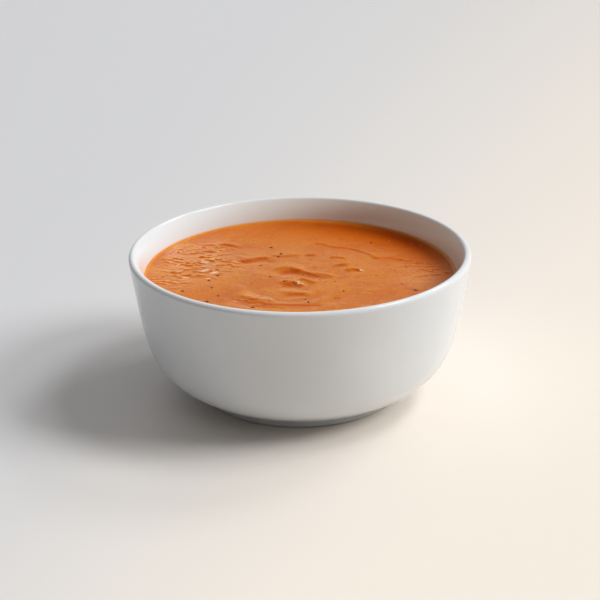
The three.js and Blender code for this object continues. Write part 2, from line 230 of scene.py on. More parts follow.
# Facets of the soup: round its first ring, round its wall, down its wall and over the bend to its floor
FIRST_RING = 6
SOUP_SIDES = 120
SOUP_STEPS = {"steps": 14, "floor_steps": 4}
# How far below the soup's level its wall starts
SOUP_WALL_DROP = 2 * MM


# Grains of the materials: pitch, detail, warp, and the values between which their mask rises
GRAINS = {
    "glaze clouds": {"Pitch": 30 * MM, "Detail": 3, "Low": 0.3, "High": 0.7},
    "glaze peel": {"Pitch": 6 * MM, "Detail": 1},
    "clay grit": {"Pitch": 0.5 * MM, "Detail": 3, "Low": 0.4, "High": 0.6},
    "soup patches": {"Pitch": 14 * MM, "Detail": 3, "Warp": 1.2, "Low": 0.4, "High": 0.68},
    "soup clots": {"Pitch": 4 * MM, "Detail": 2.5, "Warp": 0.8, "Low": 0.56, "High": 0.68},
    "soup pulp": {"Pitch": 1.3 * MM, "Detail": 3, "Low": 0.35, "High": 0.7},
    "scrap grain": {"Pitch": 0.5 * MM},
    "floor tooth": {"Pitch": 1.5 * MM},
}
# How far grains raise each surface, how bright the darker of two tones is, and the bare clay's roughness
BUMPS = {"glaze": 0.03 * MM, "soup": 0.1 * MM, "scrap": 0.1 * MM, "floor": 0.01 * MM}
DARKER = {"glaze": 0.97, "clay": 0.86, "scrap": 0.55}
CLAY_ROUGHNESS = 0.85

# Where a band of colour starts and where it is full: the glaze over the foot's clay, up from the floor; the
# end of the soup's film within the wall; the film's start under the soup's level; the thin edge at the wall
GLAZE_START = (0.35 * MM, 0.75 * MM)
FILM_BACK = (1.5 * MM, 2.5 * MM)
FILM_FOOT = (-2.5 * MM, -2 * MM)
THIN_EDGE = (-1.7 * MM, -0.3 * MM)

# Tones of the soup from the bottom up: the mask that brings each in, its colour in SoupSettings and its
# share.
# The patches, clots and pulp are random tone and the edge is the thin soup at the wall; the rest are painted
# light:
# sheen on wet skin and on slopes that face the back, shade in hollows, on slopes that face the front, in
# streaks by the folds and on the back right, the rim's shadow, and glints
SOUP_TONES = (
    ("wet", "painted_sheen", 0.3), ("patches", "deep", 0.35), ("clots", "streak", 0.5), ("pulp", "deep", 0.3),
    ("hollow", "deep", 0.9), ("rising", "streak", 0.9), ("falling", "painted_sheen", 0.5), ("clot", "deep", 0.85),
    ("warm", "warm", 1), ("rich", "rich", 1), ("edge", "edge", 0.7), ("foam", "foam", 0.9),
)


# Where the floor's tone turns from cool grey to bright warm cream, partly the paper's colour and partly
# painted light that
# falls off from right to left: its run over the floor, its start, and how it widens with distance
SHADE = {"along": (3.348, -0.403, 0), "start": 0.584, "widening": (0, 1.42, 0), "narrowest": 0.35}
FLOOR_RADIUS = 5
FLOOR_SIDES = 96
# The camera's sensor in millimetres, and the nearest that it sees in metres
SENSOR_WIDTH = 36
NEAREST_SEEN = 0.01

# Key lights, in degrees: turn from +X towards +Y, angle above the floor and width; then their strength and
# whether the gloss mirrors them
KEYS = {
    "low key": (-7, 36, 22, 1.92, False),
    "high key": (9, 56, 18, 0.96, True),
    "side key": (40, 41, 16, 0.52, True),
    "glint": (98, 44, 8, 0.02, True),
}
# Soft glows of the surroundings: turn, angle above the floor, strength, and how narrow they are
GLOWS = {
    "right": (0, 18, 0.14, 4),
    "back": (90, 18, 0.48, 4),
    "horizon": (90, 9, 0.42, 60),
    "back left": (150, 18, 0.29, 4),
    "left": (180, 52, 0.1, 6),
    "front": (290, 18, 0.17, 4),
    "top": (0, 90, 0.54, 6),
}


# Settings that a user can change

def length_setting(name, description, default):
    """A length in metres."""
    return FloatProperty(name=name, description=description, default=default, unit="LENGTH")


def angle_setting(name, description, degrees):
    """An angle, given in degrees."""
    return FloatProperty(name=name, description=description, default=math.radians(degrees), subtype="ANGLE")


def colour_setting(name, description, default):
    """A colour, given as its red, green and blue."""
    return FloatVectorProperty(name=name, description=description, default=default, subtype="COLOR")


def number_setting(name, description, default):
    """A number without a unit."""
    return FloatProperty(name=name, description=description, default=default)


def count_setting(name, description, default):
    """A whole number."""
    return IntProperty(name=name, description=description, default=default)


class BowlSettings(bpy.types.PropertyGroup):
    """Sizes of the bowl, taken along its profile, and its colours and gloss."""

    rim_radius: length_setting("Rim radius", "Outside radius at the lip", BOWL_TOP.x)
    height: length_setting("Height", "Height from foot ring to lip", BOWL_TOP.z)
    lip_round: length_setting("Lip rounding", "Radius of the fully rounded lip", 1.65 * MM)
    flare: angle_setting("Flare", "Lean of the wall outwards at the lip", 9)
    wall_reach: length_setting("Wall reach", "How far down the wall keeps that lean", 40.8 * MM)
    wall_thickness: length_setting("Wall thickness", "Thickness below the lip", 5.1 * MM)
    lip_turn: angle_setting("Lip turn", "How far short of the wall the lip's round ends inside", 22)
    lip_run_in: length_setting("Lip run-in", "Height over which the wall thickens", 9 * MM)
    belly_radius: length_setting("Belly radius", "Radius where the belly meets the foot", 45.7 * MM)
    belly_height: length_setting("Belly height", "Height where the belly meets the foot", 3.3 * MM)
    belly_slope: angle_setting("Belly slope", "Rise of the belly from the foot", 21)
    belly_reach: length_setting("Belly reach", "How far out the belly keeps that rise", 27.7 * MM)
    foot_radius: length_setting("Foot radius", "Outside radius of the foot ring", 46.4 * MM)
    foot_width: length_setting("Foot width", "Width of the foot ring", 6.2 * MM)
    foot_round: length_setting("Foot rounding", "Radius of the foot ring's edges", 0.8 * MM)
    recess_height: length_setting("Recess height", "Depth of the recess under the foot", 2.4 * MM)
    floor_height: length_setting("Floor height", "Height of the inside floor", 7.4 * MM)
    floor_radius: length_setting("Floor radius", "Radius of the flat inside floor", 30 * MM)
    sides: count_setting("Sides", "Facets round the bowl", 224)
    glaze: colour_setting("Glaze", "Colour of the white glaze", (0.757, 0.776, 0.792))
    # Inside: a little bluer than the outside glaze, as painted light that takes away some of the soup's warm
    # bounce
    inside: colour_setting("Inside", "Colour of the glaze inside", (0.757, 0.8, 0.82))
    # Painted bounce light: the warm light that the soup throws on the inside, fullest towards the back right
    blush: colour_setting("Blush", "Colour of the inside where the soup tints it most", (0.94, 0.885, 0.76))
    clay: colour_setting("Bare clay", "Colour of the unglazed foot ring", (0.62, 0.57, 0.5))
    roughness: number_setting("Glaze roughness", "Roughness of the glaze", 0.17)


class SoupSettings(bpy.types.PropertyGroup):
    """Sizes of the soup, and its colours and gloss."""

    level: length_setting("Level", "Height of the soup's surface", 54.4 * MM)
    bite: length_setting("Bite", "How far the skin reaches into the wall, so no gap shows", 0.15 * MM)
    gap: length_setting("Gap", "Room between the soup's underside and the bowl", 0.3 * MM)
    meniscus_height: length_setting("Meniscus height", "Climb of the skin at the wall", 0.6 * MM)
    meniscus_width: length_setting("Meniscus width", "Width of that climb", 0.8 * MM)
    brim_height: length_setting("Brim height", "Slow rise of the skin towards the wall", 0.4 * MM)
    brim_width: length_setting("Brim width", "Width of that rise", 7 * MM)
    pulp_height: length_setting("Pulp height", "Height of the fine pulp in the skin", 0.055 * MM)
    pulp_pitch: length_setting("Pulp pitch", "Spacing of the fine pulp", 2.4 * MM)
    # Depth at which a hollow's painted shade is full
    deep_at: number_setting("Deep at", "Depth in millimetres with the full deep colour", 0.35)
    # Rise over run at which the painted shade of a rising slope and the painted sheen of a falling one are
    # full
    steep_at: number_setting("Steep at", "Rise over run with the full colour of a slope", 0.24)
    ruffle: number_setting("Ruffle", "Growth of the pulp's height where the skin wrinkles", 2.0)
    rings: count_setting("Rings", "Rings of facets over the skin", 160)
    cream: colour_setting("Creamy orange", "Colour of the calm skin", (0.64, 0.192, 0.007))
    # Deep orange: the random patches and pulp, and the painted shade in hollows and in streaks by the folds
    deep: colour_setting("Deep orange", "Colour of the skin's hollows", (0.47, 0.07, 0.002))
    edge: colour_setting("Thin edge", "Colour of the thin edge at the wall", (0.8, 0.265, 0.028))
    # Painted shadow that the right rim casts on the soup, dark red by the wall
    rich: colour_setting("Rich orange", "Colour of the richest soup by the wall", (0.16, 0.012, 0.0003))
    # Painted shade, deeper and redder, on the soup's shaded back right
    warm: colour_setting("Warm orange", "Colour of the soup on the shaded side", (0.62, 0.105, 0.002))
    # Painted shade on slopes that face the front; the random clots take this colour too
    streak: colour_setting("Streak", "Colour of the slopes that face the front", (0.54, 0.11, 0.002))
    # Painted sheen on slopes that face the back and on wet skin
    painted_sheen: colour_setting("Lit orange", "Colour of the slopes that face the back", (0.86, 0.43, 0.12))
    # Colour of the painted glints
    foam: colour_setting("Foam", "Colour of the foam", (0.93, 0.7, 0.52))
    film: colour_setting("Film", "Colour of the film of soup left on the wall", (0.85, 0.46, 0.19))
    film_height: length_setting("Film height", "Height of that film over the skin", 1.4 * MM)
    calm_gloss: number_setting("Calm gloss", "Gloss of the calm skin", 0.57)
    wet_gloss: number_setting("Wet gloss", "Gloss of the wrinkled skin", 0.88)
    roughness: number_setting("Soup roughness", "Roughness of the wet skin", 0.12)


class FleckSettings(bpy.types.PropertyGroup):
    """Numbers and colours of what floats in the skin."""

    pepper_count: count_setting("Pepper flakes", "Scattered pepper flakes", 5)
    herb_count: count_setting("Herb shreds", "Scattered herb shreds", 4)
    tomato_count: count_setting("Tomato flecks", "Scattered red flecks", 90)
    pulp_count: count_setting("Pulp specks", "Scattered pale specks", 80)
    bubble_count: count_setting("Bubbles", "Scattered small bubbles", 16)
    pepper: colour_setting("Pepper", "Colour of the pepper", (0.15, 0.068, 0.036))
    herb: colour_setting("Herb", "Colour of the herb shreds", (0.12, 0.09, 0.05))
    tomato: colour_setting("Tomato", "Colour of the red flecks", (0.5, 0.09, 0.008))
    pulp: colour_setting("Pulp", "Colour of the pale specks", (0.72, 0.29, 0.06))
    bubble: colour_setting("Bubble", "Colour of the bubbles' skin", (0.64, 0.192, 0.007))


class StageSettings(bpy.types.PropertyGroup):
    """Floor, light and camera."""

    # Darker and cooler on the left, brighter and warmer on the right: partly the paper's colour, partly
    # painted light
    floor_cool: colour_setting("Floor, left", "Colour of the floor on the left", (0.651, 0.651, 0.665))
    floor_warm: colour_setting("Floor, right", "Colour of the floor on the right", (0.93, 0.847, 0.753))
    key_tint: colour_setting("Key tint", "Colour of the key lights", (1.0, 1.012, 1.022))
    glow_tint: colour_setting("Glow tint", "Colour of the surroundings", (1.0, 0.985, 0.97))
    keys: number_setting("Key lights", "Share of the key lights' strength", 1.0)
    glow: number_setting("Glow", "Share of the surroundings' strength", 1.0)
    lens: number_setting("Lens", "Focal length in millimetres on the sensor", 84.6)
    camera_distance: length_setting("Camera distance", "From camera to its target", 637.4 * MM)
    camera_elevation: angle_setting("Camera elevation", "Angle of the view downwards", 22.07)
    camera_roll: angle_setting("Camera roll", "Lean of the camera to its right", 0.59)
    target_height: length_setting("Target height", "Height of the camera's target", 40.9 * MM)
    target_side: length_setting("Target side", "Camera's target beside the axis", -0.14 * MM)


# Profile of the bowl: arrays of (radius, height)

def arc(radius, height, rounding, start, end, steps):
    """Points of a round stretch about (radius, height)."""
    angles = np.linspace(start, end, steps + 1)
    return np.column_stack((radius + rounding * np.cos(angles), height + rounding * np.sin(angles)))


def bezier(corners, shares):
    """Places and unit directions along a cubic curve through four corners."""
    a, b, c, d = (np.array(corner, float) for corner in corners)
    t = np.asarray(shares, float)[:, None]
    rest = 1 - t
    places = rest**3 * a + 3 * rest**2 * t * b + 3 * rest * t**2 * c + t**3 * d
    along = rest**2 * (b - a) + 2 * rest * t * (c - b) + t**2 * (d - c)
    return places, along / np.linalg.norm(along, axis=1)[:, None]


def outside_corners(bowl):
    """Corners of the curve that the outside follows from the foot to the lip."""
    centre_radius = bowl.rim_radius - bowl.lip_round
    centre_height = bowl.height - bowl.lip_round
    lean, slope = bowl.flare, bowl.belly_slope
    start = np.array((bowl.belly_radius, bowl.belly_height))
    end = np.array((centre_radius + bowl.lip_round * math.cos(lean),
                    centre_height - bowl.lip_round * math.sin(lean)))
    leaving = bowl.belly_reach * np.array((math.cos(slope), math.sin(slope)))
    arriving = bowl.wall_reach * np.array((math.sin(lean), math.cos(lean)))
    return start, start + leaving, end - arriving, end


def wall_thickness(bowl, below):
    """Thickness square to the outside, at distances below the middle of the lip's round."""
    start = -bowl.lip_round * math.sin(bowl.lip_turn)
    first = bowl.lip_round * (1 + math.cos(bowl.lip_turn))
    run, growth = bowl.lip_run_in - start, bowl.wall_thickness - first
    left = np.clip((bowl.lip_run_in - below) / run, 0, 1)
    return bowl.wall_thickness - growth * left ** (math.tan(bowl.lip_turn) * run / growth)


def inside_profile(bowl, steps=60, floor_steps=14, parallel_down_to=0.38, crowding=1.6):
    """The inside from the lip down to the middle of the floor, with its points crowded at the lip."""
    corners = outside_corners(bowl)
    above = bowl.lip_round * math.sin(bowl.lip_turn) / (3 * bowl.wall_reach)
    shares = 1 + above - (1 + above - parallel_down_to) * np.linspace(0, 1, steps + 1) ** crowding
    places, along = bezier(corners, shares)
    inward = np.column_stack((-along[:, 1], along[:, 0]))
    below = (corners[-1][1] - places[:, 1]) / math.cos(bowl.flare)
    wall = places + inward * wall_thickness(bowl, below)[:, None]
    last, slope = wall[-1], along[-1]
    knee = np.array((last[0] - (last[1] - bowl.floor_height) * slope[0] / slope[1], bowl.floor_height))
    edge = np.array((bowl.floor_radius, bowl.floor_height))
    t = np.linspace(0, 1, floor_steps + 1)[1:, None]
    floor = (1 - t) ** 2 * last + 2 * (1 - t) * t * knee + t**2 * edge
    return np.vstack((wall, floor, (0, bowl.floor_height)))


def foot_profile(bowl, steps=8):
    """The recess and the foot ring, from the axis outwards."""
    quarter = math.pi / 2
    outer = bowl.foot_radius - bowl.foot_round
    inner = bowl.foot_radius - bowl.foot_width + bowl.foot_round
    recess = inner - 2 * bowl.foot_round
    return np.vstack((
        (0, bowl.recess_height),
        (recess - bowl.foot_round, bowl.recess_height),
        arc(recess - bowl.foot_round, bowl.recess_height - bowl.foot_round, bowl.foot_round,
            quarter, 0, steps)[1:],
        arc(inner, bowl.foot_round, bowl.foot_round, -2 * quarter, -quarter, steps),
        arc(outer, bowl.foot_round, bowl.foot_round, -quarter, 0, steps),
    ))


def bowl_profile(bowl, outside_steps=70, lip_steps=18):
    """The whole closed profile from axis to axis."""
    outside, _ = bezier(outside_corners(bowl), np.linspace(0, 1, outside_steps + 1))
    lip = arc(bowl.rim_radius - bowl.lip_round, bowl.height - bowl.lip_round, bowl.lip_round,
              -bowl.flare, math.pi - bowl.flare - bowl.lip_turn, lip_steps)
    return np.vstack((foot_profile(bowl), outside[:-1], lip[:-1], inside_profile(bowl)))


def inside_radius(bowl, height):
    """Inside radius of the bowl at a height."""
    wall = inside_profile(bowl)[::-1]
    return float(np.interp(height, wall[:, 1], wall[:, 0]))


def skin_radius(bowl, soup):
    """Radius of the skin where it ends in the wall."""
    return inside_radius(bowl, soup.level + soup.brim_height + soup.meniscus_height) + soup.bite


# Meshes

def add_object(name, data):
    """Adds an object to the scene."""
    added = bpy.data.objects.new(name, data)
    bpy.context.scene.collection.objects.link(added)
    return added


def new_piece(name, points, faces, material):
    """A smooth mesh object of the object's own body."""
    mesh = bpy.data.meshes.new(name)
    mesh.from_pydata([tuple(p) for p in points], [], faces)
    mesh.validate()
    mesh.shade_smooth()
    mesh.materials.append(material)
    piece = add_object(name, mesh)
    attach(piece, "root")
    return piece


def mark(piece, name, values):
    """Keeps a mask from 0 to 1 on a piece's first points, and 0 on the others."""
    mask = np.zeros(len(piece.data.vertices), np.float32)
    mask[:len(values)] = np.clip(values, 0, 1)
    piece.data.attributes.new(name, "FLOAT", "POINT").data.foreach_set("value", mask)


def stack_of_rings(rings):
    """Points and triangles of a closed body: rings of points, zipped one to the next."""
    starts = np.cumsum([0] + [len(r) for r in rings])
    faces = []
    for k in range(len(rings) - 1):
        near, far = len(rings[k]), len(rings[k + 1])
        near_steps = near if near > 1 else 0
        far_steps = far if far > 1 else 0
        i = j = 0
        while i < near_steps or j < far_steps:
            here = starts[k] + i % near
            there = starts[k + 1] + j % far
            if i >= near_steps or (j < far_steps and (j + 1) * near_steps <= (i + 1) * far_steps):
                faces.append((here, there, starts[k + 1] + (j + 1) % far))
                j += 1
            else:
                faces.append((here, there, starts[k] + (i + 1) % near))
                i += 1
    return np.vstack(rings), [tuple(int(v) for v in f) for f in faces]


def ring(radius, height, sides):
    """A level ring of points; one point where the radius is nothing."""
    if radius <= 0:
        return np.array(((0, 0, height),))
    angles = TURN * np.arange(sides) / sides
    return np.column_stack((radius * np.cos(angles), radius * np.sin(angles), np.full(sides, height)))


# Relief of the skin, in millimetres

def make_draw(seed, factor=1664525, step=1013904223, span=2**32):
    """A small repeatable source of numbers from 0 to 1, the same as the solids have."""
    state = seed

    def draw():
        """The next number."""
        nonlocal state
        state = (state * factor + step) % span
        return state / span

    return draw


def between(low, high, share):
    """What lies at a share of the way from low to high."""
    return low + (high - low) * share


def fade(distance):
    """Falls smoothly from 1 at no distance to almost 0 at twice the unit."""
    return np.exp(-np.square(distance))


def as_share(wave):
    """A wave from -1 to 1 as a share from 0 to 1."""
    return 0.5 + 0.5 * wave


def facing(x, y, turn):
    """How far a place lies towards a turn in degrees, from 0 to 1."""
    return as_share(np.cos(np.arctan2(y, x) - math.radians(turn)))


def noise_field(x, y, layer):
    """Smooth random heights from -1 to 1, at places in units of their pitch."""
    return np.array([noise.noise(Vector((a, b, layer))) for a, b in zip(x, y)])


@functools.cache
def wrinkle_folds():
    """Short uneven wrinkles drawn at random over their patches, none on top of another."""
    folds = []
    for middle, half, count, height, lean, seed in WRINKLES.values():
        draw = make_draw(seed)
        placed = []
        while len(placed) < count:
            reach, angle = math.sqrt(draw()), TURN * draw()
            x = middle[0] + half[0] * reach * math.cos(angle)
            y = middle[1] + half[1] * reach * math.sin(angle)
            length = between(WRINKLE["shortest"], WRINKLE["longest"], draw())
            turn = math.radians(lean + WRINKLE["spread"] * (2 * draw() - 1))
            bend = WRINKLE["bend"] * (2 * draw() - 1)
            tall = height * between(WRINKLE["lowest"], 1, draw()) * (1 - WRINKLE["falling"] * reach**2)
            beside, ahead = WRINKLE["beside"] * length, WRINKLE["ahead"]
            if all(math.hypot((x - a) / beside, (y - b) / ahead) > 1 for a, b in placed):
                placed.append((x, y))
                end = 0.5 * length * np.array((math.cos(turn), math.sin(turn)))
                folds.append((np.array((x, y)) - end, np.array((x, y)) + end, bend, WRINKLE["width"], tall))
    return folds


def fold_height(x, y, start, end, bend, width, height):
    """One fold or hollow along a line that bends sideways, by its full bend at the middle."""
    along = np.subtract(end, start)
    length = np.hypot(*along)
    share = ((x - start[0]) * along[0] + (y - start[1]) * along[1]) / length**2
    held = np.clip(share, 0, 1)
    aside = ((y - start[1]) * along[0] - (x - start[0]) * along[1]) / length
    aside = aside - 4 * bend * held * (1 - held)
    beyond = (share - held) * length
    return height * fade(np.hypot(aside, beyond) / width)


def relief(x, y):
    """Height of the skin over the soup's level, without the meniscus, all in millimetres."""
    swell = np.sin(x / SWELL["long"] + SWELL["bend"] * np.sin(y / SWELL["short"]))
    swell = swell * np.sin(y / SWELL["short"] + SWELL["bend"] * np.sin(x / SWELL["long"]))
    height = SWELL["height"] * swell
    from_x, from_y = x - SWIRL["middle"][0], y - SWIRL["middle"][1]
    away, round_it = np.hypot(from_x, from_y), np.arctan2(from_y, from_x)
    turned = away + SWIRL["twist"] * np.sin(SWIRL["lobes"] * round_it + away / SWIRL["hub"])
    here = fade(away / SWIRL["radius"]) * (1 - fade(away / SWIRL["hub"])) * as_share(-np.sin(round_it))
    height = height + SWIRL["height"] * here * np.sin(TURN * turned / SWIRL["pitch"])
    warped_x = x + WARP["sideways"] * np.sin(y / WARP["short"] + np.sin(x / WARP["long"]))
    warped_y = y + WARP["ahead"] * np.sin(x / WARP["short"] + np.sin(y / WARP["long"]))
    wrinkled = sum(fold_height(warped_x, warped_y, *fold) for fold in wrinkle_folds())
    breaks = noise_field(x / BREAKS["sideways"], y / BREAKS["ahead"], BREAKS["layer"])
    height = height + wrinkled * (BREAKS["mean"] + BREAKS["share"] * breaks)
    return height + sum(fold_height(warped_x, warped_y, *fold) for fold in FOLDS.values())


def ruffled(x, y):
    """How wrinkled the skin is there, from 0 to 1, at places in millimetres."""
    share = 0
    tallest = max(patch[3] for patch in WRINKLES.values())
    for middle, half, _, height, _, _ in WRINKLES.values():
        away = np.hypot((x - middle[0]) / half[0], (y - middle[1]) / half[1])
        share = share + fade(away) * height / tallest
    return share


def skin_height(x, y, radius, soup):
    """Height of the skin above the floor, with its climb at the wall."""
    x, y = np.atleast_1d(x), np.atleast_1d(y)
    from_edge = radius - np.hypot(x, y)
    climb = soup.meniscus_height * fade(from_edge / soup.meniscus_width)
    climb = climb + soup.brim_height * fade(from_edge / soup.brim_width)
    settled = 1 - fade(from_edge / (SETTLING * soup.meniscus_width))
    across, ahead = x / PULP["stretch"] / soup.pulp_pitch, y / soup.pulp_pitch
    pulp = noise_field(across, ahead, PULP["layer"])
    pulp = pulp + PULP["finer"] * noise_field(2 * across, 2 * ahead, PULP["finer layer"])
    pulp = pulp * (1 + soup.ruffle * ruffled(x / MM, y / MM))
    return soup.level + climb + (MM * relief(x / MM, y / MM) + soup.pulp_height * pulp) * settled


# Masks of the skin, each from 0 to 1, at places in millimetres; most of them paint shade, sheen and glints

def wetness(x, y):
    """How wet the skin is there."""
    share = ruffled(x, y)
    for middle, radius in WET_SPOTS.values():
        share = share + fade(np.hypot(x - middle[0], y - middle[1]) / radius)
    return np.clip(share, 0, 1)


def streaked(x, y, streaks):
    """How much of such streaks is there."""
    shares = (fold_height(x, y, start, end, 0, width, 1) for start, end, width in streaks.values())
    return np.clip(sum(shares), 0, 1)


def rim_share(x, y, edge, rim):
    """How much of a band of painted shade along the wall is there."""
    from_wall = edge - np.hypot(x, y)
    share = rim["share"] * facing(x, y, rim["towards"]) ** rim["focus"]
    share = share * (1 - WALL_RELEASE["share"] * fade(from_wall / WALL_RELEASE["width"]))
    return share * fade(from_wall / rim["width"])


def skin_masks(x, y, edge, soup):
    """What the soup's material reads on the skin; slopes rise towards the back. Most are painted light: shade
    in hollows, on rising slopes, in streaks and by the wall, sheen on falling slopes, and glints.
    """
    wet, clot, height = wetness(x, y), streaked(x, y, PAINTED_SHADE_STREAKS), relief(x, y)
    # The rim's painted shadow, and painted shade on the back right
    rich, warm = rim_share(x, y, edge, PAINTED_SHADOW_RIM), rim_share(x, y, edge, PAINTED_SHADE_RIM)
    # Rising slopes face the front and get painted shade; falling slopes face the back and get painted sheen
    slope = (relief(x, y + SLOPE_REACH) - relief(x, y - SLOPE_REACH)) / (2 * SLOPE_REACH) / soup.steep_at
    gloss = between(soup.calm_gloss, soup.wet_gloss, wet)
    gloss = gloss * np.sqrt((1 - rich) * (1 - DULLING["slope"] * np.clip(slope, 0, 1)))
    gloss = gloss * (1 - DULLING["warm"] * warm) * (1 - DULLING["clot"] * clot)
    return {
        "hollow": -height / soup.deep_at, "rising": slope, "falling": -slope * between(CALM_LIT, 1, wet),
        "wet": wet, "gloss": gloss, "foam": streaked(x, y, PAINTED_GLINTS), "clot": clot, "rich": rich, "warm": warm,
    }


# Shader nodes

FLOAT, COLOUR, DIRECTION = "NodeSocketFloat", "NodeSocketColor", "NodeSocketVector"
NODE_SPACING = 200


def feed(tree, socket, value):
    """Links an input to the socket that feeds it, or sets its value; a colour is made opaque."""
    if isinstance(value, bpy.types.NodeSocket):
        tree.links.new(value, socket)
    elif socket.type == "RGBA":
        socket.default_value = (*value, 1)
    else:
        socket.default_value = value


def put(tree, kind, feeds, **settings):
    """Adds a node to the right of the others, with its settings and what feeds it, and gives its outputs."""
    node = tree.nodes.new(kind)
    node.location.x = NODE_SPACING * len(tree.nodes)
    for name, value in settings.items():
        setattr(node, name, value)
    for label, value in feeds.items():
        feed(tree, node.inputs[label], value)
    return node.outputs


def calculate(tree, operation, first, second, **settings):
    """The result of one sum."""
    return put(tree, "ShaderNodeMath", {0: first, 1: second}, operation=operation, **settings)[0]


def dot_product(tree, first, second):
    """How far two directions agree."""
    return put(tree, "ShaderNodeVectorMath", {0: first, 1: second}, operation="DOT_PRODUCT")["Value"]


def ramp(tree, value, low=0, high=1):
    """A mask that rises smoothly from 0 to 1 between two values."""
    feeds = {"Value": value, "From Min": low, "From Max": high}
    return put(tree, "ShaderNodeMapRange", feeds, interpolation_type="SMOOTHSTEP")["Result"]


def place_on(tree, label="Object"):
    """The place that is shaded, from the object's own origin; in a world, Generated is a direction."""
    return put(tree, "ShaderNodeTexCoord", {})[label]


def new_group(name, inputs, outputs):
    """An empty node group with named sockets, and what it is given."""
    tree = bpy.data.node_groups.new(name, "ShaderNodeTree")
    for label, kind, default in inputs:
        socket = tree.interface.new_socket(label, in_out="INPUT", socket_type=kind)
        socket.default_value = default
    for label, kind in outputs:
        tree.interface.new_socket(label, in_out="OUTPUT", socket_type=kind)
    return tree, put(tree, "NodeGroupInput", {})


def make_grain(name):
    """Uneven grain: a mask from 0 to 1 and a height about 0, at a pitch in metres."""
    inputs = (("Pitch", FLOAT, 0.01), ("Detail", FLOAT, 2.0), ("Warp", FLOAT, 0.0), ("Low", FLOAT, 0.35),
              ("High", FLOAT, 0.65))
    tree, given = new_group(name, inputs, (("Mask", FLOAT), ("Height", FLOAT)))
    rate = calculate(tree, "DIVIDE", 1, given["Pitch"])
    feeds = {"Vector": place_on(tree), "Scale": rate, "Detail": given["Detail"], "Distortion": given["Warp"]}
    grain = put(tree, "ShaderNodeTexNoise", feeds)["Fac"]
    mask = ramp(tree, grain, given["Low"], given["High"])
    put(tree, "NodeGroupOutput", {"Mask": mask, "Height": calculate(tree, "SUBTRACT", grain, 0.5)})


def make_two_tone(name):
    """One colour turning into another by a mask, of which only a share is used."""
    inputs = (("First", COLOUR, (0.8, 0.8, 0.8, 1)), ("Second", COLOUR, (0.5, 0.5, 0.5, 1)),
              ("Mask", FLOAT, 0.0), ("Share", FLOAT, 1.0))
    tree, given = new_group(name, inputs, (("Colour", COLOUR),))
    share = calculate(tree, "MULTIPLY", given["Mask"], given["Share"], use_clamp=True)
    feeds = {"Factor": share, "A": given["First"], "B": given["Second"]}
    put(tree, "NodeGroupOutput", {"Colour": put(tree, "ShaderNodeMix", feeds, data_type="RGBA")["Result"]})


def make_band(name):
    """A mask that rises from 0 to 1 between two heights, and another between two radii."""
    inputs = (("Low", FLOAT, 0.0), ("High", FLOAT, 0.01), ("Inner", FLOAT, 0.0), ("Outer", FLOAT, 0.01))
    tree, given = new_group(name, inputs, (("By height", FLOAT), ("By radius", FLOAT)))
    parts = put(tree, "ShaderNodeSeparateXYZ", {0: place_on(tree)})
    flat = put(tree, "ShaderNodeCombineXYZ", {"X": parts["X"], "Y": parts["Y"]})[0]
    radius = put(tree, "ShaderNodeVectorMath", {0: flat}, operation="LENGTH")["Value"]
    put(tree, "NodeGroupOutput", {"By height": ramp(tree, parts["Z"], given["Low"], given["High"]),
                                  "By radius": ramp(tree, radius, given["Inner"], given["Outer"])})


def make_glow(name):
    """Brightness of a soft light seen in a direction: fullest towards its middle."""
    inputs = (("Towards", DIRECTION, (0, 0, 1)), ("Fullest", FLOAT, 1.0), ("Focus", FLOAT, 4.0))
    tree, given = new_group(name, inputs, (("Brightness", FLOAT),))
    upper = calculate(tree, "MAXIMUM", dot_product(tree, place_on(tree, "Generated"), given["Towards"]), 0)
    narrow = calculate(tree, "POWER", upper, given["Focus"])
    put(tree, "NodeGroupOutput", {"Brightness": calculate(tree, "MULTIPLY", narrow, given["Fullest"])})


GROUP_MAKERS = {"Grain": make_grain, "Two_tone": make_two_tone, "Band": make_band, "Glow": make_glow}


def use_group(tree, name, **values):
    """Places a node group, which is made when it is first used, and feeds its inputs."""
    if name not in bpy.data.node_groups:
        GROUP_MAKERS[name](name)
    return put(tree, "ShaderNodeGroup", values, node_tree=bpy.data.node_groups[name])


def use_grain(tree, name):
    """Places one of the named grains."""
    return use_group(tree, "Grain", **GRAINS[name])


def mixed(tree, first, second, mask, share=1):
    """The first colour turning into the second by a share of a mask."""
    return use_group(tree, "Two_tone", First=first, Second=second, Mask=mask, Share=share)["Colour"]


def height_band(tree, low, high):
    """A mask that rises between two heights."""
    return use_group(tree, "Band", Low=low, High=high)["By height"]


def radius_band(tree, inner, outer):
    """A mask that rises between two radii."""
    return use_group(tree, "Band", Inner=inner, Outer=outer)["By radius"]


def marked(tree, name):
    """A mask that is kept on the piece's points."""
    return put(tree, "ShaderNodeAttribute", {}, attribute_name=name)["Fac"]


# Materials

def new_material(name, constants):
    """A material with its shader, and the constants of that shader set on it."""
    material = bpy.data.materials.new(name)
    material.use_nodes = True
    tree = material.node_tree
    shader = tree.nodes["Principled BSDF"]
    for label, value in constants.items():
        feed(tree, shader.inputs[label], value)
    return material, tree, shader


def add_bump(tree, shader, height, distance, *others):
    """Feeds a height into the shader's normal and into any others."""
    bump = put(tree, "ShaderNodeBump", {"Distance": distance, "Height": height})["Normal"]
    for label in ("Normal", *others):
        tree.links.new(bump, shader.inputs[label])


def darker(colour, share):
    """A colour at a share of its brightness."""
    return [share * part for part in colour]


